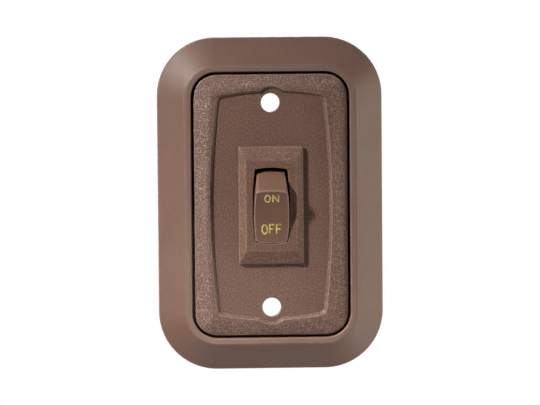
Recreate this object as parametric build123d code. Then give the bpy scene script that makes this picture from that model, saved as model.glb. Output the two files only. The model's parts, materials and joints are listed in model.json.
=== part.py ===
"""Contoured single wall switch: a trim bezel, a plate and a snap-in rocker switch.

Each piece is drawn face up: x to the right, y up the wall, z out of the wall, with the wall
plane at z = 0 and the origin half way between the two screw holes. On export the face is turned
to look along -Y, so the finished part stands upright with +Z up. The rocker is shown in OFF.
"""
from build123d import *
import os
from math import atan2, cos, degrees, radians, sin, sqrt, tan

# Wall screws
HOLE_INSET = 8.4        # centre of each hole from the plate's end, which sets them 60.3 apart
HOLE_D = 5.5
PILLAR_OD = 11.0
PILLAR_ID = 8.0

# Plate outline and border
PLATE_W = 45.2
PLATE_H = 77.1
PLATE_R = 6.7
PLATE_WALL = 1.8
RIM_RISE = 5.5          # plate's outer edge above the ledge it rests on
CROWN_RISE = 1.6        # crease above the outer edge
FACET_W = 3.65          # border facet at the middle of each side
CREASE_BOW_SIDE = 1.8
CREASE_BOW_END = 1.7
PLATE_EDGE_BREAK = 0.3

# Recessed panel of the plate
CREST_W = 1.0           # flat crest between the crease and the recess
RECESS_DEPTH = 1.0
RECESS_DRAFT = 0.7      # how far the recess wall leans out over its depth
PANEL_BOW_SIDE = 1.97
PANEL_BOW_END = 1.65
PANEL_CORNER_R = 2.2
PANEL_T = 2.0
BAY_RISE = 1.3          # how far the round bay at each screw hole reaches past the panel's end
BAY_BLEND_R = 1.2
RIB_T = 1.2
RIB_DEPTH = 3.2
LONG_RIB_X = 9.6
CROSS_RIB_Y = 20.0

# Trim bezel
PLATE_GAP = 0.7
LAND_W = 1.8
BEVEL_W = 8.0
BEZEL_RIM = 1.6
BEZEL_HEIGHT = 8.0
BEZEL_WALL = 2.0
LEDGE_W = 3.0
LEDGE_T = 1.5
BEZEL_EDGE_BREAK = 0.25

# Switch frame: flange, well and sleeve
FLANGE_W = 19.0
FLANGE_H = 34.6
FLANGE_EDGE = 1.2
FLANGE_RISE = 1.6       # bevel above the upright edge
FLANGE_BEVEL_SIDE = 2.0
FLANGE_BEVEL_END = 3.9
FLANGE_CORNER_R = 0.5
FLANGE_EDGE_BREAK = 0.15
SLEEVE_W = 13.7
SLEEVE_H = 28.4
SLEEVE_FIT = 0.1        # in the plate's cutout
SLEEVE_WALL_SIDE = 1.35
SLEEVE_WALL_END = 1.0
SLEEVE_DEPTH = 11.6     # behind the panel's face
MOUTH_BOW_SIDE = 0.75
MOUTH_BOW_END = 0.5
MOUTH_DEPTH = 7.8       # depth over which the mouth opens out to the sleeve

# Snap tabs on the sleeve's ends, and the catches that hold the base
TAB_W = 7.0
TAB_BITE = 0.8
TAB_L = 5.0
TAB_SLOT = 0.8
TAB_GAP = 0.1
CATCH_W = 4.0
CATCH_H = 0.9
CATCH_BITE = 0.6
CATCH_GAP = 0.2
CATCH_Y = 7.0

# Rocker
THROW = 30.0            # degrees from OFF to ON
PIVOT_DEPTH = 9.3       # behind the flange's land
RIDGE_HEIGHT = 12.09    # ridges above the pivot
RIDGE_HALF = 8.25
FACE_SAG = 0.9
FLANK_DROP = 7.22
FOOT_GAP = 0.38         # between a flank's foot and the sleeve's end wall
MOUTH_GAP_SIDE = 0.35
MOUTH_GAP_END = 0.15
ROCKER_SIDE_R = 58.8
ROCKER_END_R = 22.6
ROCKER_CORNER_R = 7.26  # tighter curve that takes off the corners of the ends
CORNER_STEP = 0.8       # its middle beyond the end's own middle
CROWN_T = 1.6
SKIRT_T = 1.1
RIDGE_BREAK = 0.2
TRUNNION_D = 3.0
TRUNNION_FIT = 0.05     # radial running clearance
TRUNNION_SHORT = 0.25
BOSS_R = 2.8
STEM_OD = 5.0
STEM_REACH = 4.2        # below the pivot
WEB_T = 1.2

# Plunger and spring
PLUNGER_D = 3.0
PLUNGER_FIT = 0.05
PLUNGER_REACH = 6.0     # tip's centre below the pivot
PLUNGER_L = 3.9
TIP_R = 1.3
STUB_D = 1.5
STUB_L = 1.2
WIRE_D = 0.4
WIRE_SIDES = 6          # the round wire drawn six-sided, which keeps the coil light
SPRING_OD = 2.7
SPRING_TURNS = 5
SPRING_SEAT = 0.05
BORE_END = 5.0          # above the pivot

# See-saw contact arm
ARM_GAP = 0.15          # between the plunger's tip and the arm at mid travel
ARM_T = 0.8
ARM_W = 5.4
ARM_RISE = 14.5         # degrees, each wing towards the front
ARM_TILT = 7.0          # degrees either way
PAD_L = 4.0
WAIST_W = 3.0
WAIST_L = 4.4
HINGE_GAP = 0.02

# Contacts and terminals
MOVING_D = 3.2
MOVING_T = 0.9
FIXED_D = 3.6
CONTACT_GAP = 0.03      # left between the buttons when closed
STRIP_T = 0.8
SPADE_W = 6.35
SPADE_L = 10.0          # beyond the base
SPADE_TIP = 1.2
SPADE_EYE_D = 1.7
SLOT_FIT = 0.05
SHOULDER_GAP = 0.3      # each side of a terminal's shoulder, inside the base
SHOULDER_H = 1.0
EAR_W = 2.4
EAR_H = 2.8
EAR_FIT = 0.15
SHELF_MARGIN = 0.4      # of the load terminal beyond its contact
LOAD_GAP = 0.03         # between the load terminal and the base's lip

# Base
FLOOR_T = 3.0
FLOOR_DROP = 1.8        # floor's face below the arm's seat
LIP_L = 1.9
LIP_T = 1.0
LIP_FIT = 0.1

# Derived heights and places
RIM_Z = LEDGE_T + RIM_RISE
CREASE_Z = RIM_Z + CROWN_RISE
PANEL_Z = CREASE_Z - RECESS_DEPTH
PANEL_BACK = PANEL_Z - PANEL_T
EDGE_Z = PANEL_Z + FLANGE_EDGE
LAND_Z = EDGE_Z + FLANGE_RISE
SLEEVE_BACK = PANEL_Z - SLEEVE_DEPTH
SLEEVE_IN_W = SLEEVE_W - 2 * SLEEVE_WALL_SIDE
SLEEVE_IN_H = SLEEVE_H - 2 * SLEEVE_WALL_END
PIVOT_Z = LAND_Z - PIVOT_DEPTH
HALF_THROW = radians(THROW / 2)
FOOT_Z = RIDGE_HEIGHT - FLANK_DROP
FOOT_Y = (SLEEVE_IN_H / 2 - FOOT_GAP - FOOT_Z * sin(HALF_THROW)) / cos(HALF_THROW)
ARM_COS = cos(radians(ARM_RISE))
ARM_FRONT_Z = PIVOT_Z - PLUNGER_REACH - (TIP_R + ARM_GAP) / ARM_COS
HINGE_Z = ARM_FRONT_Z - ARM_T / ARM_COS
SEAT_Z = HINGE_Z - HINGE_GAP
FLOOR_Z = SEAT_Z - FLOOR_DROP
CAVITY_W = SLEEVE_IN_W - 2 * (LIP_FIT + LIP_T)
CAVITY_H = SLEEVE_IN_H - 2 * (LIP_FIT + LIP_T)
BASE_BACK = FLOOR_Z - FLOOR_T
SHANK_END = PLUNGER_L - PLUNGER_REACH
HOLE_YS = (PLATE_H / 2 - HOLE_INSET, HOLE_INSET - PLATE_H / 2)
BAY_R = HOLE_INSET - FACET_W - CREST_W - RECESS_DRAFT + BAY_RISE
ENDS = (1, -1)
TINY = 1e-3
PIVOT = Axis((0, 0, PIVOT_Z), (1, 0, 0))
HINGE = Axis((0, 0, HINGE_Z), (1, 0, 0))

# Closed contact: over the shelf of the load terminal, which stands by the base's lip
LOAD_Y = LOAD_GAP + STRIP_T / 2 - CAVITY_H / 2
CLOSED_Y = LOAD_Y + SHELF_MARGIN + FIXED_D / 2

# Wing and pad of the contact arm, from the fold at its middle, long enough to close there
TURN = radians(ARM_TILT)
ARM_SLOPE = tan(radians(ARM_RISE))
WING_REACH = -CLOSED_Y - PAD_L / 2 - (ARM_FRONT_Z - HINGE_Z) * sin(TURN)
WING_L = WING_REACH / (cos(TURN) + ARM_SLOPE * sin(TURN))
WING_RISE = WING_L * ARM_SLOPE
PAD_Y = WING_L + PAD_L * cos(TURN)
PAD_RISE = WING_RISE + PAD_L * sin(TURN)
BUTTON_Y = (WING_L + PAD_Y) / 2
BUTTON_Z = ARM_FRONT_Z + (WING_RISE + PAD_RISE) / 2
CLOSED_Z = HINGE_Z - BUTTON_Y * sin(TURN) + (BUTTON_Z - HINGE_Z) * cos(TURN)
FIXED_Z = CLOSED_Z - ARM_T - MOVING_T - CONTACT_GAP


def upright(sketch, low, high):
    """A sketch raised as a prism between two heights."""
    return Pos(0, 0, low) * extrude(sketch, high - low)


def across(points, width):
    """A closed outline of (y, z) points, carried across x to both sides of the middle."""
    face = Plane.YZ * make_face(Polyline(*points, close=True))
    return extrude(face, width / 2, both=True)


def crossbar(radius, width):
    """A round bar along x."""
    return Cylinder(radius, width, rotation=(0, 90, 0))


def barrel(width, height, bow_side, bow_end):
    """A four-sided face with each side bowed outwards; sizes are at the middles."""
    x, y = width / 2, height / 2
    cx, cy = x - bow_side, y - bow_end
    return make_face([
        ThreePointArc((-cx, -cy), (0, -y), (cx, -cy)),
        ThreePointArc((cx, -cy), (x, 0), (cx, cy)),
        ThreePointArc((cx, cy), (0, y), (-cx, cy)),
        ThreePointArc((-cx, cy), (-x, 0), (-cx, -cy)),
    ])


def between(low_sketch, low, high_sketch, high):
    """Ruled sides from one sketch to another at a greater height."""
    return loft([Pos(0, 0, low) * low_sketch, Pos(0, 0, high) * high_sketch], ruled=True)


def middle_z(edge):
    """Height of an edge's middle."""
    return (edge @ 0.5).Z


def soften(shape, height, size):
    """Break every edge whose middle is at a height or above it."""
    return chamfer([edge for edge in shape.edges() if middle_z(edge) > height - TINY], size)


def nearest(shape, x, y):
    """The sketch's corner nearest to a point."""
    return shape.vertices().sort_by_distance((x, y, 0))[0]


def ring(section, width, height, radius):
    """A section carried round a rounded rectangle: its x is the distance in, its y the height."""
    run_x, run_y = width / 2 - radius, height / 2 - radius
    on_side = Plane((width / 2, 0, 0), x_dir=(-1, 0, 0), z_dir=(0, 1, 0))
    on_corner = Plane((width / 2, run_y, 0), x_dir=(-1, 0, 0), z_dir=(0, 1, 0))
    on_end = Plane((run_x, height / 2, 0), x_dir=(0, -1, 0), z_dir=(-1, 0, 0))
    quarter = extrude(on_side * section, run_y)
    quarter += revolve(on_corner * section, Axis((run_x, run_y, 0), (0, 0, 1)), 90)
    quarter += extrude(on_end * section, run_x)
    half = quarter + mirror(quarter, Plane.YZ)
    return half + mirror(half, Plane.XZ)


def bezel():
    """Bevelled trim ring, hollow behind, with a ledge that the plate clamps to the wall."""
    opening = BEVEL_W + LAND_W
    slope = (BEZEL_HEIGHT - BEZEL_RIM) / BEVEL_W
    skin = BEZEL_WALL * sqrt(1 + slope**2)
    inner = opening - BEZEL_WALL
    section = make_face(Polyline(
        (0, 0),
        (0, BEZEL_RIM),
        (BEVEL_W, BEZEL_HEIGHT),
        (opening, BEZEL_HEIGHT),
        (opening, LEDGE_T),
        (opening + LEDGE_W, LEDGE_T),
        (opening + LEDGE_W, 0),
        (inner, 0),
        (inner, BEZEL_RIM + slope * inner - skin),
        (BEZEL_WALL, BEZEL_RIM + slope * BEZEL_WALL - skin),
        (BEZEL_WALL, 0),
        close=True,
    ))
    shown = [(0, BEZEL_RIM), (BEVEL_W, BEZEL_HEIGHT), (opening, BEZEL_HEIGHT)]
    section = chamfer([nearest(section, *corner) for corner in shown], BEZEL_EDGE_BREAK)
    around = PLATE_GAP + opening
    return ring(section, PLATE_W + 2 * around, PLATE_H + 2 * around, PLATE_R + around)


def recess():
    """The plate's recess: a bowed tray with leaning walls and a round bay at each screw."""
    inset = 2 * (FACET_W + CREST_W)
    brim = barrel(PLATE_W - inset, PLATE_H - inset, PANEL_BOW_SIDE, PANEL_BOW_END)
    inset += 2 * RECESS_DRAFT
    floor = barrel(PLATE_W - inset, PLATE_H - inset, PANEL_BOW_SIDE, PANEL_BOW_END)
    tray = between(floor, PANEL_Z, brim, CREASE_Z)
    bay = Cone(BAY_R, BAY_R + RECESS_DRAFT, RECESS_DEPTH)
    tray += [Pos(0, y, (PANEL_Z + CREASE_Z) / 2) * bay for y in HOLE_YS]

    def wall_edges(shape, beside_bay):
        leaning = [e for e in shape.edges() if abs((e @ 1 - e @ 0).Z) > RECESS_DEPTH / 2]
        return [e for e in leaning if (abs((e @ 0.5).X) < 2 * BAY_R) == beside_bay]

    tray = fillet(wall_edges(tray, False), PANEL_CORNER_R)
    return fillet(wall_edges(tray, True), BAY_BLEND_R)


def switch_plate():
    """Contoured plate: bowed border facets, a recessed panel, and a ribbed hollow back."""
    sharp = Rectangle(PLATE_W, PLATE_H)
    inset = 2 * FACET_W
    crease = barrel(PLATE_W - inset, PLATE_H - inset, CREASE_BOW_SIDE, CREASE_BOW_END)
    rounded = RectangleRounded(PLATE_W, PLATE_H, PLATE_R)
    plate = upright(sharp, LEDGE_T, RIM_Z) + between(sharp, RIM_Z, crease, CREASE_Z)
    plate &= upright(rounded, LEDGE_T, CREASE_Z)
    plate = soften(plate, RIM_Z, PLATE_EDGE_BREAK) - recess()

    around = 2 * PLATE_WALL
    hollow = RectangleRounded(PLATE_W - around, PLATE_H - around, PLATE_R - PLATE_WALL)
    plate -= upright(hollow, LEDGE_T, PANEL_BACK)
    ribs = [Pos(s * LONG_RIB_X, 0) * Rectangle(RIB_T, PLATE_H - PLATE_WALL) for s in ENDS]
    ribs += [Pos(0, s * CROSS_RIB_Y) * Rectangle(PLATE_W - PLATE_WALL, RIB_T) for s in ENDS]
    for rib in ribs:
        plate += upright(rib, PANEL_BACK - RIB_DEPTH, PANEL_BACK)
    for y in HOLE_YS:
        plate += upright(Pos(0, y) * Circle(PILLAR_OD / 2), 0, PANEL_BACK)
        plate -= upright(Pos(0, y) * Circle(PILLAR_ID / 2), 0, PANEL_BACK)
        plate -= upright(Pos(0, y) * Circle(HOLE_D / 2), 0, PANEL_Z)
    cutout = Rectangle(SLEEVE_W + 2 * SLEEVE_FIT, SLEEVE_H + 2 * SLEEVE_FIT)
    return plate - upright(cutout, 0, PANEL_Z)


def snap_tab():
    """A wedge on the sleeve's upper end that catches behind the plate's panel."""
    wall_y, top = SLEEVE_H / 2, PANEL_BACK - TAB_GAP
    return across([(wall_y, top), (wall_y + TAB_BITE, top), (wall_y, top - TAB_L)], TAB_W)


def tab_slots():
    """The slot round three sides of the upper snap tab, which lets it spring inwards."""
    wall_y, top = SLEEVE_H / 2, PANEL_BACK - TAB_GAP
    deep = 3 * SLEEVE_WALL_END
    outer = Rectangle(TAB_W + 2 * TAB_SLOT, 2 * deep)
    slots = upright(Pos(0, wall_y) * outer, top, top + TAB_SLOT)
    for s in ENDS:
        side = Pos(s * (TAB_W + TAB_SLOT) / 2, wall_y) * Rectangle(TAB_SLOT, 2 * deep)
        slots += upright(side, top - TAB_L, top + TAB_SLOT)
    return slots


def base_catches(bite, gap):
    """Four small bars across the sleeve's side walls, where the base clicks into it."""
    half_in = SLEEVE_IN_W / 2
    middle = SLEEVE_BACK + LIP_L / 2
    start = half_in - LIP_FIT
    bar = Box(bite, CATCH_W + 2 * gap, CATCH_H + 2 * gap)
    right = [Pos(start + bite / 2, s * CATCH_Y, middle) * bar for s in ENDS]
    return right + [mirror(piece, Plane.YZ) for piece in right]


def flange():
    """Bevelled flange with broken edges: rounded outlines that shrink towards the land."""
    cut = FLANGE_EDGE_BREAK / FLANGE_BEVEL_SIDE

    def outline(share, inset, height):
        width = FLANGE_W - 2 * (share * FLANGE_BEVEL_SIDE + inset)
        length = FLANGE_H - 2 * (share * FLANGE_BEVEL_END + inset)
        return Pos(0, 0, height) * RectangleRounded(width, length, FLANGE_CORNER_R)

    return loft([
        outline(0, 0, PANEL_Z),
        outline(0, 0, EDGE_Z - FLANGE_EDGE_BREAK),
        outline(cut, 0, EDGE_Z + cut * FLANGE_RISE),
        outline(1 - cut, 0, LAND_Z - cut * FLANGE_RISE),
        outline(1, FLANGE_EDGE_BREAK, LAND_Z),
    ], ruled=True)


def switch_frame():
    """Snap-in front moulding: bevelled flange, rocker well, bearing sleeve and snap tabs."""
    frame = flange() + upright(Rectangle(SLEEVE_W, SLEEVE_H), SLEEVE_BACK, PANEL_Z)

    pressed_ridge = RIDGE_HALF * cos(HALF_THROW) + RIDGE_HEIGHT * sin(HALF_THROW)
    mouth_h = 2 * (pressed_ridge + MOUTH_GAP_END)
    mouth = barrel(SLEEVE_IN_W, mouth_h, MOUTH_BOW_SIDE, MOUTH_BOW_END)
    inside = Rectangle(SLEEVE_IN_W, SLEEVE_IN_H)
    frame -= between(inside, LAND_Z - MOUTH_DEPTH, mouth, LAND_Z)
    frame -= upright(inside, SLEEVE_BACK, LAND_Z - MOUTH_DEPTH)
    frame -= Pos(0, 0, PIVOT_Z) * crossbar(TRUNNION_D / 2 + TRUNNION_FIT, SLEEVE_W)

    frame += [snap_tab(), mirror(snap_tab(), Plane.XZ)]
    frame -= [tab_slots(), mirror(tab_slots(), Plane.XZ)]
    return frame - base_catches(2 * SLEEVE_WALL_SIDE, CATCH_GAP)


def paddle(skin, crown):
    """The rocker's outer form about its pivot, or its inside when given a wall thickness."""
    half_w = SLEEVE_IN_W / 2 - MOUTH_GAP_SIDE
    reach = 2 * RIDGE_HEIGHT
    body = Box(2 * half_w, 2 * reach, reach, align=(Align.CENTER, Align.CENTER, Align.MIN))
    face_r = (RIDGE_HALF**2 + FACE_SAG**2) / (2 * FACE_SAG)
    body -= Pos(0, 0, RIDGE_HEIGHT - FACE_SAG + face_r) * crossbar(face_r + crown, reach)
    lean = degrees(atan2(FOOT_Y - RIDGE_HALF, FLANK_DROP))
    corner_r = ROCKER_CORNER_R - skin
    corners = Circle(corner_r) + Rectangle(2 * corner_r, 2 * reach, align=(Align.CENTER, Align.MAX))
    end = Pos(0, -ROCKER_END_R) * Circle(ROCKER_END_R - skin)
    end &= Pos(0, CORNER_STEP - ROCKER_CORNER_R) * corners
    flank = extrude(end, 1.5 * reach, both=True)
    flank = Pos(0, RIDGE_HALF, RIDGE_HEIGHT) * Rot(lean, 0, 0) * flank
    side = Pos(half_w - ROCKER_SIDE_R, 0, 0) * Cylinder(ROCKER_SIDE_R - skin, 3 * reach)
    return body & flank & mirror(flank, Plane.XZ) & side & mirror(side, Plane.YZ)


def rocker():
    """Concave paddle: thin crown and skirts on two trunnions, with a tube for the plunger."""
    half_w = SLEEVE_IN_W / 2 - MOUTH_GAP_SIDE
    shell = paddle(0, 0)
    shown = shell.faces().sort_by_distance((0, 0, RIDGE_HEIGHT - FACE_SAG))[0]
    shell = chamfer(shown.edges(), RIDGE_BREAK)
    shell -= paddle(SKIRT_T, CROWN_T)
    under = across([
        (BOSS_R, 0),
        (2 * FOOT_Y - BOSS_R, 2 * FOOT_Z),
        (2 * FOOT_Y, -BOSS_R),
        (0, -BOSS_R),
    ], 4 * half_w)
    shell -= [under, mirror(under, Plane.XZ)]

    web_top = RIDGE_HEIGHT - FACE_SAG - CROWN_T / 2
    stem = upright(Circle(STEM_OD / 2), -STEM_REACH, web_top)
    stem += upright(Rectangle(2 * half_w - SKIRT_T, WEB_T), 0, web_top)
    shell += stem
    ears = crossbar(BOSS_R, 2 * half_w) + crossbar(TRUNNION_D / 2, SLEEVE_W - 2 * TRUNNION_SHORT)
    shell += ears - crossbar(2 * BOSS_R, 2 * (half_w - SKIRT_T))
    shell -= upright(Circle(PLUNGER_D / 2 + PLUNGER_FIT), -STEM_REACH, BORE_END)
    return in_off(shell)


def in_off(shape):
    """A piece drawn about the pivot at mid travel, turned to OFF and put in the switch."""
    return (Pos(0, 0, PIVOT_Z) * shape).rotate(PIVOT, THROW / 2)


def plunger():
    """Round-nosed pin that slides in the rocker's stem, with a stub inside its spring."""
    shoulder = PLUNGER_D / 2 - TIP_R
    outline = make_face([
        ThreePointArc(
            (0, -PLUNGER_REACH - TIP_R),
            (TIP_R * sin(radians(45)), -PLUNGER_REACH - TIP_R * cos(radians(45))),
            (TIP_R, -PLUNGER_REACH),
        ),
        Polyline(
            (TIP_R, -PLUNGER_REACH),
            (PLUNGER_D / 2, -PLUNGER_REACH + shoulder),
            (PLUNGER_D / 2, SHANK_END),
            (STUB_D / 2, SHANK_END),
            (STUB_D / 2, SHANK_END + STUB_L),
            (0, SHANK_END + STUB_L),
            (0, -PLUNGER_REACH - TIP_R),
        ),
    ])
    return in_off(revolve(Plane.XZ * outline, Axis.Z))


def plunger_spring():
    """Compression spring between the plunger's shoulder and the end of the stem's bore."""
    low = SHANK_END + WIRE_D / 2 + SPRING_SEAT
    high = BORE_END - WIRE_D / 2 - SPRING_SEAT
    coil = Helix((high - low) / SPRING_TURNS, high - low, (SPRING_OD - WIRE_D) / 2)
    wire = Plane(coil @ 0, z_dir=coil % 0) * RegularPolygon(WIRE_D / 2, WIRE_SIDES)
    return in_off(Pos(0, 0, low) * sweep(wire, coil, is_frenet=True))


def contact_arm():
    """Sheet-metal see-saw: two wings folded towards the front, and a level pad on the lower one."""
    front = Polyline((-PAD_Y, PAD_RISE), (-WING_L, WING_RISE), (0, 0), (WING_L, WING_RISE))
    outline = make_face(front.wire().offset_2d(ARM_T, Kind.INTERSECTION, Side.RIGHT))
    arm = extrude(Plane.YZ * outline, ARM_W / 2, both=True)
    for s in ENDS:
        arm -= Pos(s * (WAIST_W + ARM_W) / 2, 0, 0) * Box(ARM_W, WAIST_L, ARM_W)
    return in_open(Pos(0, 0, ARM_FRONT_Z) * arm)


def in_open(shape):
    """A piece of the contact arm drawn at mid travel, tipped so that the contacts are open."""
    return shape.rotate(HINGE, -ARM_TILT)


def moving_contact():
    """Contact button on the back of the arm's lower pad."""
    button = Cylinder(MOVING_D / 2, MOVING_T, align=(Align.CENTER, Align.CENTER, Align.MAX))
    button = Pos(0, -BUTTON_Y, BUTTON_Z) * Rot(-ARM_TILT, 0, 0) * Pos(0, 0, -ARM_T) * button
    return in_open(button)


def fixed_contact():
    """Contact button on the load terminal, under the moving one."""
    return upright(Pos(0, CLOSED_Y) * Circle(FIXED_D / 2), FLOOR_Z + STRIP_T, FIXED_Z)


def spade(y):
    """Spade tab out of the back of the base, with shoulders on the base's floor."""
    tip = BASE_BACK - SPADE_L
    blade = make_face(Polyline(
        (-SPADE_W / 2, FLOOR_Z),
        (-SPADE_W / 2, tip + SPADE_TIP),
        (-SPADE_W / 2 + SPADE_TIP, tip),
        (SPADE_W / 2 - SPADE_TIP, tip),
        (SPADE_W / 2, tip + SPADE_TIP),
        (SPADE_W / 2, FLOOR_Z),
        close=True,
    ))
    blade -= Pos(0, BASE_BACK - SPADE_L / 2) * Circle(SPADE_EYE_D / 2)
    tab = extrude(Plane.XZ * blade, STRIP_T / 2, both=True)
    shoulder = upright(Rectangle(CAVITY_W - 2 * SHOULDER_GAP, STRIP_T), FLOOR_Z, FLOOR_Z + SHOULDER_H)
    return Pos(0, y, 0) * (tab + shoulder)


def common_terminal():
    """Centre terminal: a seat for the arm's fold between two ears, on a spade tab."""
    inner = WAIST_W + 2 * EAR_FIT
    outer = inner + 2 * STRIP_T
    saddle = upright(Rectangle(outer, EAR_W), SEAT_Z - STRIP_T, SEAT_Z + EAR_H)
    saddle -= upright(Rectangle(inner, EAR_W), SEAT_Z, SEAT_Z + EAR_H)
    neck = upright(Rectangle(outer, STRIP_T), FLOOR_Z, SEAT_Z)
    return spade(0) + neck + saddle


def load_terminal():
    """Lower terminal: a shelf on the base's floor that carries the fixed contact."""
    shelf_end = CLOSED_Y + FIXED_D / 2 + SHELF_MARGIN
    shelf = upright(
        Pos(0, (LOAD_Y + shelf_end) / 2) * Rectangle(SPADE_W, shelf_end - LOAD_Y),
        FLOOR_Z,
        FLOOR_Z + STRIP_T,
    )
    return spade(LOAD_Y) + shelf


def switch_base():
    """Insulating cup that closes the sleeve's back, slotted for the two spade tabs."""
    lip_w, lip_h = SLEEVE_IN_W - 2 * LIP_FIT, SLEEVE_IN_H - 2 * LIP_FIT
    base = upright(Rectangle(SLEEVE_W, SLEEVE_H), BASE_BACK, SLEEVE_BACK)
    base += upright(Rectangle(lip_w, lip_h), SLEEVE_BACK, SLEEVE_BACK + LIP_L)
    base -= upright(Rectangle(CAVITY_W, CAVITY_H), FLOOR_Z, SLEEVE_BACK + LIP_L)
    base += base_catches(CATCH_BITE, 0)
    slot = Rectangle(SPADE_W + 2 * SLOT_FIT, STRIP_T + 2 * SLOT_FIT)
    for y in (0, LOAD_Y):
        base -= upright(Pos(0, y) * slot, BASE_BACK, FLOOR_Z)
    return base


PIECES = {
    "bezel": bezel,
    "switch_plate": switch_plate,
    "switch_frame": switch_frame,
    "rocker": rocker,
    "plunger": plunger,
    "plunger_spring": plunger_spring,
    "contact_arm": contact_arm,
    "moving_contact": moving_contact,
    "fixed_contact": fixed_contact,
    "common_terminal": common_terminal,
    "load_terminal": load_terminal,
    "switch_base": switch_base,
}


def main():
    os.makedirs("parts", exist_ok=True)
    for name, make in PIECES.items():
        shape = Plane.XZ.location * make()
        export_step(shape, f"parts/{name}.step")
        print(name, round(shape.volume, 1), "mm3")


main()
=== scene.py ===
# %% [markdown]
# # A brown wall switch: finishes, gold legend, spring, light and camera
# The solids of this switch come from CAD and already have their final shapes, so Blender is left
# with what solids cannot hold: the look of each moulding and metal strip, the ON and OFF printed
# on the rocker, a spring of round wire, and a studio to see them in. The imported model is loaded
# first and is never moved: the wall plane is y = 0, the front looks along -Y and z points up the
# wall. Everything is in metres.

# %% Load the switch
import bpy
import json
from math import cos, pi, radians, sin
from mathutils import Euler, Matrix, Vector


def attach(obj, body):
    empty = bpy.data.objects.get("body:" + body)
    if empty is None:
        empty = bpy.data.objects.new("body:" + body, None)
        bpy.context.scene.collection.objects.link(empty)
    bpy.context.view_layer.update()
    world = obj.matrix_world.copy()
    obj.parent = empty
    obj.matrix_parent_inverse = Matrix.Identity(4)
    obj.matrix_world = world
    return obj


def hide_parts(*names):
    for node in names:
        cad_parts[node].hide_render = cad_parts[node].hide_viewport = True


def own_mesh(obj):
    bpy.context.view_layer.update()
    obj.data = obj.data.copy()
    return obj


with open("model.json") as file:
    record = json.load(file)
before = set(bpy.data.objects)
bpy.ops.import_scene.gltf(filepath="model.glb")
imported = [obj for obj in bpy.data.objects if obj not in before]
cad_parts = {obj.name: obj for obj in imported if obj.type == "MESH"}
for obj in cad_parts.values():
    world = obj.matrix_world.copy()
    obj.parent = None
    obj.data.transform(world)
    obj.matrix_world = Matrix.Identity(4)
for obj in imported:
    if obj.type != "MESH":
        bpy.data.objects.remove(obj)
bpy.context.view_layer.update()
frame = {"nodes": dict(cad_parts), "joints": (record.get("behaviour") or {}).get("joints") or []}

MM = 0.001
nodes = frame["nodes"]
print("solids:", ", ".join(sorted(nodes)))

# %% [markdown]
# ## What a finish is built from
# Every surface of this switch is Blender's Principled shader with a few small nodes in front of it.
# An image could hold the pattern, but it would freeze one lighting into the surface, and it would
# need UVs, which these solids do not carry. So each pattern is noise in Object coordinates: a grain
# is the same size in millimetres on every piece, and it answers to any lamp. Each helper below adds
# one node, so that a recipe later on reads as a list of layers.

# %% A blank finish and the values that feed it
def new_finish(slot):
    """A material for one slot of the record: its node tree, its shader and object coordinates."""
    finish = bpy.data.materials.new(slot + "_finish")
    finish.use_nodes = True
    tree = finish.node_tree
    shader = tree.nodes["Principled BSDF"]
    place = tree.nodes.new("ShaderNodeTexCoord").outputs["Object"]
    return finish, tree, shader, place


def feed(tree, value, socket):
    """Link another socket to this one, or set a plain value on it."""
    if isinstance(value, bpy.types.NodeSocket):
        tree.links.new(value, socket)
    else:
        socket.default_value = value


def noise(tree, place, size, detail=2.0, roughness=0.5):
    """Noise whose blotches are about the given size in metres."""
    node = tree.nodes.new("ShaderNodeTexNoise")
    node.inputs["Scale"].default_value = 1 / size
    node.inputs["Detail"].default_value = detail
    node.inputs["Roughness"].default_value = roughness
    tree.links.new(place, node.inputs["Vector"])
    return node.outputs["Fac"]


def spread(tree, value, low, high, start=0.3, end=0.7):
    """The value's span from start to end, stretched to run from low to high."""
    node = tree.nodes.new("ShaderNodeMapRange")
    for name, number in (("From Min", start), ("From Max", end), ("To Min", low), ("To Max", high)):
        node.inputs[name].default_value = number
    tree.links.new(value, node.inputs["Value"])
    return node.outputs["Result"]


def arithmetic(tree, operation, first, second):
    """One step of arithmetic; each side is a socket or a number."""
    node = tree.nodes.new("ShaderNodeMath")
    node.operation = operation
    feed(tree, first, node.inputs[0])
    feed(tree, second, node.inputs[1])
    return node.outputs[0]


print("values for a finish:", ", ".join(step.__name__ for step in (noise, spread, arithmetic)))

# %% [markdown]
# ### Colour, bump and the shader
# A moulding's colour, dullness and fine relief come from one and the same grain, so the noise that
# darkens a pit also lowers it. Real relief would need millions of faces; a Bump node tilts the
# shading only, which is enough for a grain of a third of a millimetre. A Bevel node turns the
# normal early at edges, because no moulded edge is razor sharp.

# %% Colours, normals and what the shader takes
def blend_colours(tree, factor, first, second):
    """A colour between two others; each is a socket or an (r, g, b) in linear light."""
    node = tree.nodes.new("ShaderNodeMix")
    node.data_type = "RGBA"
    tree.links.new(factor, node.inputs["Factor"])
    for socket, colour in ((node.inputs[6], first), (node.inputs[7], second)):
        feed(tree, (*colour, 1) if isinstance(colour, tuple) else colour, socket)
    return node.outputs[2]


def rounded_normal(tree, radius):
    """The surface's normal with its edges rounded off over a radius."""
    node = tree.nodes.new("ShaderNodeBevel")
    node.samples = 6
    node.inputs["Radius"].default_value = radius
    return node.outputs["Normal"]


def bump(tree, height, depth, normal):
    """The normal, roughened by a height that runs from 0 to 1 over a depth in metres."""
    node = tree.nodes.new("ShaderNodeBump")
    node.inputs["Strength"].default_value = 1.0
    node.inputs["Distance"].default_value = depth
    tree.links.new(height, node.inputs["Height"])
    tree.links.new(normal, node.inputs["Normal"])
    return node.outputs["Normal"]


def dress(tree, shader, colour, roughness, normal):
    """Link the three inputs of the shader that every finish drives."""
    tree.links.new(colour, shader.inputs["Base Color"])
    tree.links.new(roughness, shader.inputs["Roughness"])
    tree.links.new(normal, shader.inputs["Normal"])


print("steps of a finish:", ", ".join(step.__name__ for step in (blend_colours, bump, dress)))
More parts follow.
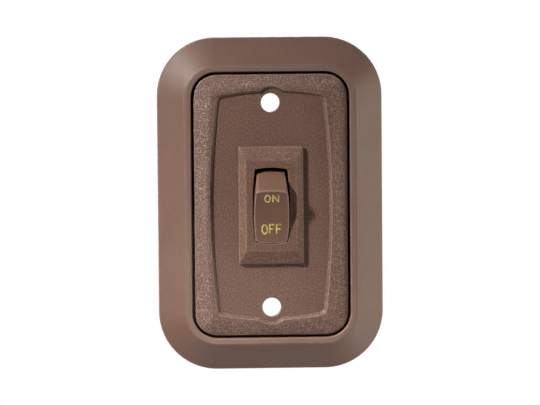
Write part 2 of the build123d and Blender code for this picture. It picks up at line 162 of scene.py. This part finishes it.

# %% [markdown]
# ### Paler edges, painted corner shade and bevels
# Brown plastic goes pale on its outer edges, where hands and cloths scuff it, and here the paler edge
# also stands for a painted highlight. Inner corners are darkened with painted shade. Masks painted
# by hand would have to be redone for every change of shape, so here the shader finds the places
# itself. Where the rounded normal leaves the flat one, there is an edge. Ambient Occlusion, kept to
# the piece's own surface, tells an outer edge from an inner corner. The Y of the normal tells a face
# that looks straight out of the wall from a bevel.

# %% Find edges, corners and bevels
AT_EDGE, BESIDE_EDGE = 0.982, 0.999        # how well the rounded and the flat normal agree
STRAIGHT_OUT, ON_BEVEL = -0.985, -0.955    # Y of a front face's normal, and of a bevel's


def edge_mask(tree, normal):
    """1 on edges, where the rounded normal leaves the flat one, and 0 elsewhere."""
    flat = tree.nodes.new("ShaderNodeNewGeometry").outputs["Normal"]
    dot = tree.nodes.new("ShaderNodeVectorMath")
    dot.operation = "DOT_PRODUCT"
    tree.links.new(normal, dot.inputs[0])
    tree.links.new(flat, dot.inputs[1])
    return spread(tree, dot.outputs["Value"], 1, 0, AT_EDGE, BESIDE_EDGE)


def openness(tree, reach):
    """1 on open faces and outer edges, less in an inner corner within reach."""
    node = tree.nodes.new("ShaderNodeAmbientOcclusion")
    node.samples = 8
    node.only_local = True
    node.inputs["Distance"].default_value = reach
    return node.outputs["AO"]


def y_of(tree, vector):
    """How far a place or a direction runs towards the wall."""
    split = tree.nodes.new("ShaderNodeSeparateXYZ")
    tree.links.new(vector, split.inputs[0])
    return split.outputs["Y"]


def by_slope(tree, flat, sloped):
    """One value on faces that look straight out of the wall, and another on those that slope."""
    normal = tree.nodes.new("ShaderNodeTexCoord").outputs["Normal"]
    return spread(tree, y_of(tree, normal), flat, sloped, STRAIGHT_OUT, ON_BEVEL)


print("masks for wear:", ", ".join(mask.__name__ for mask in (edge_mask, openness, by_slope)))

# %% [markdown]
# ## Moulded plastic
# The bezel, plate, frame and rocker are all brown thermoplastic, but their moulds were finished
# differently. The plate and the frame came out of spark-eroded steel, which leaves a coarse grain
# that glitters where a bevel turns to the light. The bezel's mould was blasted finer, and the
# rocker's was only polished dull. One recipe serves all four: a slow noise lets the pigment drift,
# and a fine one makes bump, darker pits and paler peaks, because bump alone fades when a grain is
# about as small as a pixel. The darker pits are grain tone with painted shade, and the paler peaks
# are grain tone with painted glints, which are made stronger on the bevels. The outer edges are
# paler, partly scuffs and partly a painted highlight, and the inner corners carry painted shade.

# %% Layers of a brown plastic
EDGE_R = 0.26 * MM
PIGMENT_DRIFT = 14 * MM
# how dark the painted shade in inner corners goes, and how far ambient occlusion looks
CORNER_SHADE, OCCLUSION_REACH = 0.5, 0.8 * MM
SHEEN_DRIFT = 0.06                          # how far the roughness leaves its middle with the grain
PITS, PEAKS = (0.60, 0.40), (0.54, 0.70)    # levels of the grain where each begins and is full
OUTER_EDGE = (0.80, 0.96)                   # openness where scuffs and painted edge highlights begin and are full
INNER_CORNER = (0.55, 0.90)                 # openness where painted shade in inner corners is full and where it ends
# pit and corner colour: grain tone and painted shade; peak colour: grain tone and painted glints; pale
# brown: scuffed edges with a painted highlight, and paler front faces
PIT_AND_CORNER_SHADE_BROWN, GLINT_AND_GRAIN_BROWN, PALE_BROWN = (0.045, 0.022, 0.015), (0.29, 0.22, 0.19), (0.30, 0.22, 0.18)


def moulded(slot, deep, pale, roughness, shine, grain, depth, dark, wear, glint=0.0, bevel_glint_gain=1.0, paler_front=0.0):
    """Brown plastic: pigment, pits with painted shade, peaks with painted glints, a paler front, scuffed
    edges with a painted highlight, painted corner shade.
    """
    finish, tree, shader, place = new_finish(slot)
    grit = noise(tree, place, grain, detail=1.5, roughness=0.45)
    pigment = noise(tree, place, PIGMENT_DRIFT, detail=3.0, roughness=0.55)
    round_normal = rounded_normal(tree, EDGE_R)
    open_share = openness(tree, OCCLUSION_REACH)

    colour = blend_colours(tree, spread(tree, pigment, 0, 1), deep, pale)
    # darker pits: grain tone, partly painted shade in the pits
    colour = blend_colours(tree, spread(tree, grit, 0, dark, *PITS), colour, PIT_AND_CORNER_SHADE_BROWN)
    # paler peaks: grain tone with painted glints, made stronger on bevels
    if glint:
        grain_and_glints = spread(tree, grit, 0, glint, *PEAKS)
        grain_and_glints = arithmetic(tree, "MULTIPLY", grain_and_glints, by_slope(tree, 1, bevel_glint_gain))
        colour = blend_colours(tree, grain_and_glints, colour, GLINT_AND_GRAIN_BROWN)
    # faces that look straight out of the wall are made paler
    if paler_front:
        colour = blend_colours(tree, by_slope(tree, paler_front, 0), colour, PALE_BROWN)
    # paler outer edges: scuffs, partly a painted edge highlight
    scuffs_and_highlights = spread(tree, open_share, 0, wear, *OUTER_EDGE)
    scuffs_and_highlights = arithmetic(tree, "MULTIPLY", scuffs_and_highlights, edge_mask(tree, round_normal))
    colour = blend_colours(tree, scuffs_and_highlights, colour, PALE_BROWN)
    # painted shade in inner corners, from ambient occlusion
    colour = blend_colours(tree, spread(tree, open_share, CORNER_SHADE, 0, *INNER_CORNER), colour, PIT_AND_CORNER_SHADE_BROWN)

    sheen = spread(tree, grit, roughness + SHEEN_DRIFT, roughness - SHEEN_DRIFT)
    dress(tree, shader, colour, sheen, bump(tree, grit, depth, round_normal))
    shader.inputs["Specular IOR Level"].default_value = shine
    return finish


# the reach printed here is that of the painted shade in inner corners
print(f"plastic edges are rounded over {EDGE_R / MM:.2f} mm, painted_shade reaches {OCCLUSION_REACH / MM:.1f} mm")

# %% [markdown]
# ### Four browns
# The photograph shows the four browns slightly apart, so each piece has its own two pigments, its
# own grain and its own dullness. On the bezel alone, the faces that look straight out of the wall
# are made paler.

# %% Mix the plastics
# In each recipe, wear sets how pale the outer edges go, partly scuffs and partly painted highlight, and the
# glint values set painted glints mixed with the grain peaks.
browns = {
    "bezel_plastic": dict(
        deep=(0.117, 0.063, 0.046), pale=(0.134, 0.075, 0.055), roughness=0.48, shine=0.40,
        grain=0.30 * MM, depth=0.05 * MM, dark=0.22, wear=0.6, paler_front=0.18,
    ),
    "plate_plastic": dict(
        deep=(0.122, 0.060, 0.043), pale=(0.142, 0.072, 0.051), roughness=0.41, shine=0.50,
        grain=0.38 * MM, depth=0.22 * MM, dark=0.48, wear=0.9, glint=0.30, bevel_glint_gain=2.7,
    ),
    "frame_plastic": dict(
        deep=(0.127, 0.066, 0.045), pale=(0.146, 0.079, 0.054), roughness=0.50, shine=0.22,
        grain=0.36 * MM, depth=0.14 * MM, dark=0.46, wear=0.6, glint=0.24, bevel_glint_gain=1.5,
    ),
    "rocker_plastic": dict(
        deep=(0.122, 0.063, 0.042), pale=(0.137, 0.072, 0.049), roughness=0.40, shine=0.35,
        grain=0.35 * MM, depth=0.02 * MM, dark=0.18, wear=0.9,
    ),
}
finishes = {slot: moulded(slot, **recipe) for slot, recipe in browns.items()}
print("plastic finishes:", ", ".join(browns))

# %% [markdown]
# ## Base and plunger
# Behind the frame sits a black thermoset cup. Such powder-pressed parts show faint flow clouds and
# a dry, slightly speckled skin, so two noises of different size make its colour. The plunger is
# natural nylon, milky enough to let some light in. A little subsurface light gives that without
# the cost of a truly clear material.

# %% Black thermoset and nylon
SOOT_BLACK, CLOUD_BLACK, SPECK_GREY = (0.010, 0.009, 0.009), (0.021, 0.019, 0.018), (0.060, 0.055, 0.050)
NYLON, PALE_NYLON = (0.62, 0.59, 0.50), (0.72, 0.70, 0.62)
NYLON_DEPTH = (0.8 * MM, 0.7 * MM, 0.5 * MM)    # how far red, green and blue light get in


def pressed_black(slot):
    """Black thermoset: cloudy, dry, with fine pale specks."""
    finish, tree, shader, place = new_finish(slot)
    clouds = noise(tree, place, size=5 * MM, detail=4.0, roughness=0.6)
    specks = noise(tree, place, size=0.12 * MM, detail=1.0)
    colour = blend_colours(tree, spread(tree, clouds, 0, 1), SOOT_BLACK, CLOUD_BLACK)
    colour = blend_colours(tree, spread(tree, specks, 0, 0.5, start=0.66, end=0.74), colour, SPECK_GREY)
    normal = bump(tree, specks, depth=0.006 * MM, normal=rounded_normal(tree, radius=0.2 * MM))
    dress(tree, shader, colour, spread(tree, clouds, low=0.40, high=0.56), normal)
    return finish


def milky_nylon(slot):
    """Natural nylon: off-white, satin, a little cloudy."""
    finish, tree, shader, place = new_finish(slot)
    clouds = noise(tree, place, size=1.5 * MM, detail=3.0)
    colour = blend_colours(tree, spread(tree, clouds, 0, 1), NYLON, PALE_NYLON)
    normal = bump(tree, clouds, depth=0.01 * MM, normal=rounded_normal(tree, radius=0.1 * MM))
    dress(tree, shader, colour, spread(tree, clouds, low=0.34, high=0.46), normal)
    shader.inputs["Subsurface Weight"].default_value = 0.2
    shader.inputs["Subsurface Radius"].default_value = NYLON_DEPTH
    return finish


finishes["base_phenolic"] = pressed_black("base_phenolic")
finishes["plunger_nylon"] = milky_nylon("plunger_nylon")
print("inner plastics:", finishes["base_phenolic"].name, finishes["plunger_nylon"].name)

# %% [markdown]
# ## Metals
# The terminals and the arm are stamped from rolled strip, and the spring is drawn wire. Rolling and
# drawing leave fine lines that run one way. Anisotropic shading could stretch the highlights, but
# it needs a tangent for each piece. So a Mapping node squeezes a noise to thin streaks instead, and
# the streaks drive the roughness and a shallow bump. A slower noise lays on patches of tarnish.

# %% Rolled and drawn metals
def rolled_metal(slot, bright, tarnish, roughness, squeeze):
    """Sheet or wire: streaks along the rolling direction and patches of tarnish."""
    finish, tree, shader, place = new_finish(slot)
    along = tree.nodes.new("ShaderNodeMapping")
    along.inputs["Scale"].default_value = squeeze
    tree.links.new(place, along.inputs["Vector"])
    streaks = noise(tree, along.outputs["Vector"], size=0.15 * MM, detail=2.0)
    patches = noise(tree, place, size=3 * MM, detail=4.0, roughness=0.6)
    colour = blend_colours(tree, spread(tree, patches, 0, 1, start=0.45, end=0.75), bright, tarnish)
    sheen = spread(tree, streaks, low=roughness - 0.08, high=roughness + 0.12)
    normal = bump(tree, streaks, depth=0.003 * MM, normal=rounded_normal(tree, radius=0.1 * MM))
    dress(tree, shader, colour, sheen, normal)
    shader.inputs["Metallic"].default_value = 1.0
    return finish


metals = {
    "terminal_brass": dict(
        bright=(0.72, 0.50, 0.20), tarnish=(0.44, 0.28, 0.11), roughness=0.32, squeeze=(1, 0.06, 1)),
    "arm_copper": dict(
        bright=(0.74, 0.36, 0.20), tarnish=(0.45, 0.20, 0.11), roughness=0.34, squeeze=(1, 1, 0.06)),
    "contact_silver": dict(
        bright=(0.80, 0.79, 0.76), tarnish=(0.52, 0.49, 0.44), roughness=0.28, squeeze=(1, 1, 1)),
    "spring_steel": dict(
        bright=(0.58, 0.58, 0.59), tarnish=(0.38, 0.37, 0.36), roughness=0.30, squeeze=(0.3, 0.3, 1)),
}
for slot, recipe in metals.items():
    finishes[slot] = rolled_metal(slot, **recipe)
print("metal finishes:", ", ".join(metals))

# %% [markdown]
# ### Putting the finishes on
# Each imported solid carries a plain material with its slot's name, which says what the piece is made
# of. A finish of the same slot takes that material's place, and no face is moved or added.

# %% Give each solid the finish of its slot
for name, solid in nodes.items():
    slot = solid.data.materials[0].name
    solid.material_slots[0].material = finishes[slot]
    print(f"{name}: {slot}")

# %% [markdown]
# ## The ON and OFF legend
# The two words on the rocker are hot-stamped gold foil: a heated die presses thin foil into the
# plastic, which leaves soft-cornered strokes of even width with a few bare pinholes. Blender's
# text object could give the outlines, but a stamped legend is really a line of constant width, and
# it lies on a hollow face. So each letter is drawn here as bare strokes on a flat sheet in front of
# the rocker, and the next steps give them width and press them on.

# %% Strokes of the letters
STROKE_PLANE = -0.030             # y of the sheet the letters are drawn on
OVAL_POINTS = 28
ARM_RISE, ARM_CUT = 0.02, 0.18    # F's lower arm above the middle, and how much shorter it is


def letter_o(x, z, w, h):
    """A narrow upright oval as one closed stroke."""
    turns = [2 * pi * k / OVAL_POINTS for k in range(OVAL_POINTS)]
    return [[(x + w / 2 * cos(t), z + h / 2 * sin(t)) for t in turns]], True


def letter_n(x, z, w, h):
    """Two posts and a diagonal, drawn without lifting the pen."""
    left, right, low, high = x - w / 2, x + w / 2, z - h / 2, z + h / 2
    return [[(left, low), (left, high), (right, low), (right, high)]], False


def letter_f(x, z, w, h):
    """A post with a top arm, and a shorter arm at the middle."""
    left, right, low, high = x - w / 2, x + w / 2, z - h / 2, z + h / 2
    middle = z + ARM_RISE * h
    lower_arm = [(left, middle), (right - ARM_CUT * w, middle)]
    return [[(left, low), (left, high), (right, high)], lower_arm], False


ON_Z, ON_H = 2.43, 2.10           # middle of the word and height of its strokes, in mm
OFF_Z, OFF_H = -6.80, 2.70
letters = [
    letter_o(x=-1.24, z=ON_Z, w=1.48, h=ON_H),
    letter_n(x=1.14, z=ON_Z, w=1.66, h=ON_H),
    letter_o(x=-2.08, z=OFF_Z, w=1.50, h=OFF_H),
    letter_f(x=0.07, z=OFF_Z, w=1.30, h=OFF_H),
    letter_f(x=2.14, z=OFF_Z, w=1.40, h=OFF_H),
]
strokes = bpy.data.curves.new("legend_strokes", "CURVE")
strokes.dimensions = "3D"
for runs, closed in letters:
    for run in runs:
        line = strokes.splines.new("POLY")
        line.points.add(len(run) - 1)
        line.use_cyclic_u = closed
        for point, (x, z) in zip(line.points, run):
            point.co = (x * MM, STROKE_PLANE, z * MM, 1)
print("letter strokes:", len(strokes.splines))

# %% [markdown]
# ### Foil material
# Foil is thin metal over a yellow lacquer. Full metal would turn black where it mirrors nothing,
# so it is only partly metallic, and a fine noise dulls it and breaks it up as a worn stamping is.

# %% Gold foil
PALE_GOLD, WORN_GOLD = (0.86, 0.70, 0.25), (0.30, 0.20, 0.07)


def stamped_foil(slot):
    """Pale gold foil, patchy where the brown below shows through."""
    finish, tree, shader, place = new_finish(slot)
    wear = noise(tree, place, size=0.35 * MM, detail=3.0, roughness=0.6)
    crinkle = noise(tree, place, size=0.10 * MM, detail=2.0)
    colour = blend_colours(tree, spread(tree, wear, 0, 1, start=0.60, end=0.36), WORN_GOLD, PALE_GOLD)
    normal = bump(tree, crinkle, depth=0.012 * MM, normal=rounded_normal(tree, radius=0.03 * MM))
    dress(tree, shader, colour, spread(tree, crinkle, low=0.28, high=0.5), normal)
    shader.inputs["Metallic"].default_value = 0.35
    return finish


gold_foil = stamped_foil("legend_ink")
print("foil:", gold_foil.name)

# %% [markdown]
# ### Steps that both trees share
# Geometry Nodes make two pieces here, the legend and later the spring. Both are a line swept with a
# round section, and both end the same way: instances made real and a material set, because an
# exported mesh keeps neither instances nor a live modifier. The shared steps are small helpers, so
# that each tree below reads as a list of what is done to the line.

# %% Helpers for geometry trees
def add_node(tree, kind, way=None, **inputs):
    """A node of some kind, in a mode if it has one, with its named inputs linked or set."""
    node = tree.nodes.new(kind)
    if way:
        setattr(node, *way)
    for name, value in inputs.items():
        feed(tree, value, node.inputs[name.replace("_", " ")])
    return node


def new_geometry_tree(name, **inputs):
    """An empty tree with named inputs of the given kinds, those inputs, and its end socket."""
    tree = bpy.data.node_groups.new(name, "GeometryNodeTree")
    for socket, kind in {"Geometry": "Geometry", **inputs}.items():
        tree.interface.new_socket(socket, in_out="INPUT", socket_type="NodeSocket" + kind)
    tree.interface.new_socket("Geometry", in_out="OUTPUT", socket_type="NodeSocketGeometry")
    return tree, tree.nodes.new("NodeGroupInput").outputs, tree.nodes.new("NodeGroupOutput").inputs[0]


def swept(tree, line, diameter, sides):
    """A line swept with a round section and closed at its ends."""
    radius = arithmetic(tree, "MULTIPLY", diameter, 0.5)
    ring = add_node(tree, "GeometryNodeCurvePrimitiveCircle", Resolution=sides, Radius=radius)
    return add_node(tree, "GeometryNodeCurveToMesh", Curve=line, Profile_Curve=ring.outputs["Curve"],
                    Fill_Caps=True).outputs[0]


def close_tree(tree, made, finish, end):
    """Make instances real and set the material."""
    whole = add_node(tree, "GeometryNodeRealizeInstances", Geometry=made)
    dressed = add_node(tree, "GeometryNodeSetMaterial", Geometry=whole.outputs[0], Material=finish)
    tree.links.new(dressed.outputs[0], end)


print("steps for a tree:", ", ".join(step.__name__ for step in (add_node, swept, close_tree)))

# %% [markdown]
# ### From a tree to a plain mesh
# A tree works on a host object through a modifier, and its sizes are set there by the identifier of
# each input. The result is copied out as an ordinary mesh and the modifier is taken off again, so
# what is handed on has nothing left to evaluate.

# %% Bake a tree
def baked(host, tree, settings, name):
    """The tree's result on a host object, as a smooth plain mesh object at the origin."""
    modifier = host.modifiers.new("made_by_nodes", "NODES")
    modifier.node_group = tree
    for item in tree.interface.items_tree:
        if item.in_out == "INPUT" and item.name in settings:
            modifier[item.identifier] = settings[item.name]
    bpy.context.scene.collection.objects.link(host)
    bpy.context.view_layer.update()
    mesh = bpy.data.meshes.new_from_object(host.evaluated_get(bpy.context.evaluated_depsgraph_get()))
    host.modifiers.remove(modifier)
    bpy.data.objects.remove(host)
    mesh.name = name
    mesh.polygons.foreach_set("use_smooth", [True] * len(mesh.polygons))
    piece = bpy.data.objects.new(name, mesh)
    bpy.context.scene.collection.objects.link(piece)
    print(f"{name}: {len(mesh.polygons)} faces")
    return piece


# %% [markdown]
# ### Pressing the strokes
# The die that stamps the words is flat and the rocker's face is hollow, so the foil takes the shape
# of the face. A Shrinkwrap modifier could lay a flat mesh on it, but it would lose the foil's
# rounded edge. So the strokes are swept into tubes, a ray from every point of a tube finds the face
# below it, and the tube's own depth is kept only as the foil's thickness. If the rocker's shape
# changes, the words follow it.

# %% Press the strokes onto the rocker
STROKE_W, FOIL = 0.42 * MM, 0.02 * MM
STROKE_STEP, STROKE_SIDES = 0.12 * MM, 10
RAY_REACH = 50 * MM


def press_tree():
    """Sweep strokes to a width and lay them on an object as thin foil."""
    tree, given, end = new_geometry_tree("press_strokes", Width="Float", Foil="Float", Sheet="Float",
                                         Carrier="Object", Finish="Material")
    finer = add_node(tree, "GeometryNodeResampleCurve", ("mode", "LENGTH"), Curve=given["Geometry"],
                     Length=STROKE_STEP)
    tube = swept(tree, finer.outputs[0], given["Width"], STROKE_SIDES)

    place = tree.nodes.new("GeometryNodeInputPosition").outputs[0]
    here = add_node(tree, "ShaderNodeSeparateXYZ", Vector=place)
    start = add_node(tree, "ShaderNodeCombineXYZ", X=here.outputs["X"], Y=given["Sheet"],
                     Z=here.outputs["Z"])
    carrier = add_node(tree, "GeometryNodeObjectInfo", Object=given["Carrier"])
    ray = add_node(tree, "GeometryNodeRaycast", Target_Geometry=carrier.outputs["Geometry"],
                   Source_Position=start.outputs[0], Ray_Direction=(0, 1, 0), Ray_Length=RAY_REACH)
    forward = arithmetic(tree, "SUBTRACT", given["Sheet"], here.outputs["Y"])
    share = arithmetic(tree, "DIVIDE", forward, arithmetic(tree, "MULTIPLY", given["Width"], 0.5))
    lift = add_node(tree, "ShaderNodeVectorMath", ("operation", "SCALE"), Vector=ray.outputs["Hit Normal"],
                    Scale=arithmetic(tree, "MULTIPLY", share, given["Foil"]))
    pressed = add_node(tree, "GeometryNodeSetPosition", Geometry=tube, Position=ray.outputs["Hit Position"],
                       Offset=lift.outputs[0])
    close_tree(tree, pressed.outputs[0], given["Finish"], end)
    return tree


legend = baked(bpy.data.objects.new("legend_sheet", strokes), press_tree(), {
    "Width": STROKE_W,
    "Foil": FOIL,
    "Sheet": STROKE_PLANE,
    "Carrier": nodes["rocker"],
    "Finish": gold_foil,
}, "rocker_legend")
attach(legend, "rocker")
depths = [v.co.y / MM for v in legend.data.vertices]
print(f"legend lies from y = {min(depths):.2f} to {max(depths):.2f} mm")

# %% [markdown]
# ## The plunger's spring
# Inside the rocker's stem a small compression spring presses the plunger against the contact arm.
# The solid coil has a six-sided wire to stay light, and as a rigid mesh it would let the plunger
# run into it. A spring follows a simple rule, so a tree winds one with a round wire instead. Its
# line, radius and height are measured on the solid coil, which it replaces, so that they follow
# the CAD model.

# %% Measure the solid coil
joints = {joint["name"]: joint for joint in frame["joints"]}
pivot = Vector(joints["rocker_tilt"]["pos_m"])
slide_way = Vector(joints["plunger_slide"]["axis"]).normalized()
spots = [v.co - pivot for v in nodes["plunger_spring"].data.vertices]
along = [spot.dot(slide_way) for spot in spots]
off_line = [(spot - slide_way * reach).length for spot, reach in zip(spots, along)]
wire = max(off_line) - min(off_line)
length = max(along) - min(along)

# %% [markdown]
# ### Winding it
# The Spiral node winds its line upright from the origin, so the baked mesh is then turned to the
# slide's direction and moved to the first turn. The spring rides in the rocker.

# %% Wind the spring
SPRING_TURNS, POINTS_PER_TURN, WIRE_SIDES = 5.0, 36, 12


def spring_tree():
    """Wind a round wire into an open coil along z."""
    tree, given, end = new_geometry_tree("wind_spring", Radius="Float", Wire="Float", Height="Float",
                                         Turns="Float", Finish="Material")
    line = add_node(tree, "GeometryNodeCurveSpiral", Resolution=POINTS_PER_TURN, Rotations=given["Turns"],
                    Start_Radius=given["Radius"], End_Radius=given["Radius"], Height=given["Height"])
    close_tree(tree, swept(tree, line.outputs[0], given["Wire"], WIRE_SIDES), given["Finish"], end)
    return tree


spring = baked(bpy.data.objects.new("spring_host", bpy.data.meshes.new("spring_host")), spring_tree(), {
    "Radius": (max(off_line) + min(off_line)) / 2,
    "Wire": wire,
    "Height": length - wire,
    "Turns": SPRING_TURNS,
    "Finish": finishes["spring_steel"],
}, "round_wire_spring")
upright_to_slide = Vector((0, 0, 1)).rotation_difference(slide_way).to_matrix().to_4x4()
first_turn = pivot + slide_way * (min(along) + wire / 2)
spring.data.transform(Matrix.Translation(first_turn) @ upright_to_slide)
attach(spring, "rocker")
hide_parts("plunger_spring")
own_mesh(spring)

# %% [markdown]
# ## White surround
# The photograph has a pure white ground. A world that is white for every ray would light the switch
# from all round and flatten it, so a Light Path node parts the rays. The camera sees plain white,
# and so do mirror and glass rays that leave towards the backdrop. Those that leave towards the room
# in front see it nearly dark, as a photographer's room is: were it white too, every flat face would
# show a grey veil.

# %% The world
FILL = 0.01
FILL_TINT = (1.0, 0.98, 0.96, 1)
BACKDROP = (0.0, 0.35)            # y of a ray's direction where the room ends and the backdrop is full


def seen_directly(tree, mirrored):
    """1 for rays from the camera, and a given share for rays from a mirror or through glass."""
    path = tree.nodes.new("ShaderNodeLightPath").outputs
    mirror = arithmetic(tree, "MAXIMUM", path["Is Glossy Ray"], path["Is Transmission Ray"])
    mirror = arithmetic(tree, "MULTIPLY", mirror, mirrored)
    return arithmetic(tree, "MAXIMUM", path["Is Camera Ray"], mirror)


def share_shaders(tree, share, plain, white, output):
    """A plain shader and a white one, mixed by a share, into the tree's output."""
    either = tree.nodes.new("ShaderNodeMixShader")
    tree.links.new(share, either.inputs["Fac"])
    tree.links.new(plain.outputs[0], either.inputs[1])
    tree.links.new(white.outputs[0], either.inputs[2])
    tree.links.new(either.outputs[0], tree.nodes[output].inputs["Surface"])


world = bpy.data.worlds.new("studio")
world.use_nodes = True
bpy.context.scene.world = world
sky = world.node_tree
fill_light = sky.nodes["Background"]
fill_light.inputs["Color"].default_value = FILL_TINT
fill_light.inputs["Strength"].default_value = FILL
white_ground = sky.nodes.new("ShaderNodeBackground")
white_ground.inputs["Color"].default_value = (1, 1, 1, 1)
white_ground.inputs["Strength"].default_value = 1.0
way_out = sky.nodes.new("ShaderNodeTexCoord").outputs["Generated"]
backdrop = spread(sky, y_of(sky, way_out), 0, 1, *BACKDROP)
share_shaders(sky, seen_directly(sky, backdrop), fill_light, white_ground, "World Output")
print("world: white to the camera, fill of", FILL)

# %% [markdown]
# ## Floor
# A wall switch is shown in the air, with no shadow beside it. The floor lies a little way below, so
# the switch's shadow falls out of the picture but is there from other sides. A shadow catcher would
# need film settings that this script leaves alone. So the floor mixes white with a diffuse paint,
# and more of the paint shows near the spot where the shadow falls.

# %% The floor
FLOOR_Z, FLOOR_HALF = -0.140, 4
FLOOR_GREY = (0.55, 0.55, 0.55, 1)
SHADOW_SPOT = (0.14, 0.13, FLOOR_Z)
SHADOW_CORE, SHADOW_RIM = 0.10, 0.20    # distances from that spot between which the paint fades
SHADOW_WHITE = 0.70                     # share of white at the shadow's core
FLOOR_BACK = (0.0, 0.10)                # y between which a mirrored floor turns white

ground = bpy.data.meshes.new("floor")
corners = [(x * FLOOR_HALF, y * FLOOR_HALF, FLOOR_Z) for x, y in ((-1, -1), (1, -1), (1, 1), (-1, 1))]
ground.from_pydata(corners, [], [(0, 1, 2, 3)])
floor = bpy.data.objects.new("floor", ground)
bpy.context.scene.collection.objects.link(floor)
paint = bpy.data.materials.new("pale_floor")
paint.use_nodes = True
ground.materials.append(paint)

floor_tree = paint.node_tree
matte = floor_tree.nodes["Principled BSDF"]
matte.inputs["Base Color"].default_value = FLOOR_GREY
matte.inputs["Roughness"].default_value = 0.9
glow = floor_tree.nodes.new("ShaderNodeEmission")
place = floor_tree.nodes.new("ShaderNodeTexCoord").outputs["Object"]
away = floor_tree.nodes.new("ShaderNodeVectorMath")
away.operation = "DISTANCE"
away.inputs[1].default_value = SHADOW_SPOT
floor_tree.links.new(place, away.inputs[0])
fading = spread(floor_tree, away.outputs["Value"], SHADOW_WHITE, 1.0, SHADOW_CORE, SHADOW_RIM)
mirrored = spread(floor_tree, y_of(floor_tree, place), 0, 1, *FLOOR_BACK)
share = arithmetic(floor_tree, "MULTIPLY", seen_directly(floor_tree, mirrored), fading)
share_shaders(floor_tree, share, matte, glow, "Material Output")
print("floor at z =", FLOOR_Z)

# %% [markdown]
# ## Lamps
# The shadow beside the frame's flange falls a little further right than the flange is high, and
# about as far down. That puts the main lamp up to the left, a little nearer the wall than 45
# degrees, and the narrow blur of the shadow says that the lamp is small. Its fan is narrow and
# aimed low, which makes the panel lighter towards its foot. The bezel's right bevel turns away from
# that lamp and is warm grey with reflected light, so a warm card stands there, and a weak one
# further forward lifts the plate's right bevel. Weak cards lift the left and the top, two small
# lamps lift the lower half and the lower right corner, and one large card behind lights the back,
# which the camera of this picture never sees.

# %% Soft studio light
def lamp(name, place, size, power, aim=(0, 0, 0), fan=180, colour=(1, 1, 1)):
    """An area lamp that looks at a point and fans out over an angle in degrees."""
    data = bpy.data.lights.new(name, "AREA")
    data.shape = "RECTANGLE"
    data.size, data.size_y = size
    data.energy = power
    data.color = colour
    data.spread = radians(fan)
    light = bpy.data.objects.new(name, data)
    light.location = place
    light.rotation_euler = (Vector(aim) - Vector(place)).to_track_quat("-Z", "Y").to_euler()
    light.visible_camera = False
    bpy.context.scene.collection.objects.link(light)
    print(f"{name}: {power} W at {tuple(round(v, 3) for v in place)}")


KEY_WAY, KEY_REACH = Vector((-0.64, -0.53, 0.56)).normalized(), 0.60
DAYLIGHT, WARM = (1, 0.985, 0.96), (1, 0.90, 0.76)
lamp("key", KEY_WAY * KEY_REACH, (0.05, 0.05), 0.315, aim=(0, 0, -0.08), fan=34, colour=DAYLIGHT)
lamp("right_card", (0.30, -0.035, -0.02), (0.18, 0.30), 0.85, colour=WARM)
lamp("left_card", (-0.30, -0.05, 0.12), (0.16, 0.20), 0.12)
lamp("top_card", (0.16, -0.06, 0.30), (0.20, 0.20), 0.13)
lamp("low_front", (-0.03, -0.22, -0.06), (0.04, 0.04), 0.0019, aim=(-0.008, 0, -0.042), fan=24)
lamp("low_right", (0.13, -0.03, -0.12), (0.05, 0.05), 0.045, aim=(0.03, 0, -0.045))
lamp("front_right", (0.26, -0.24, 0.0), (0.16, 0.25), 0.09, colour=WARM)
lamp("back_card", (0.15, 0.50, 0.20), (0.30, 0.30), 2.0)

# %% [markdown]
# ## Camera
# The switch is seen nearly square on: the view is a few degrees from above and a touch from the
# left, and the whole picture leans half a degree. A long lens from far away keeps the bevels on
# opposite sides equally wide, as they are in the photograph.

# %% Camera
LENS, SENSOR = 300.0, 36.0        # in mm, as camera makers give them
VIEW_W = 0.1588                   # width of what the picture shows at the switch
AZIMUTH, ELEVATION, ROLL = radians(-2.2), radians(5.2), radians(-0.47)
AIM = Vector((-0.00023, -0.006, 0.0006))
FAR_END = 20                      # how far the camera sees, in metres

distance = VIEW_W * LENS / SENSOR
towards = Vector((sin(AZIMUTH) * cos(ELEVATION), -cos(AZIMUTH) * cos(ELEVATION), sin(ELEVATION)))
view = bpy.data.cameras.new("photo_view")
view.lens = LENS
view.sensor_width = SENSOR
view.clip_end = FAR_END
camera = bpy.data.objects.new("photo_view", view)
camera.location = AIM + towards * distance
facing = (-towards).to_track_quat("-Z", "Y")
camera.rotation_euler = (facing.to_matrix() @ Euler((0, 0, ROLL)).to_matrix()).to_euler()
bpy.context.scene.collection.objects.link(camera)
bpy.context.scene.camera = camera
print("camera at", tuple(round(v, 3) for v in camera.location))

# %% [markdown]
# ## Finish
# Standard view transform shows each colour about as it was written.

# %% View
bpy.context.scene.view_settings.view_transform = "Standard"
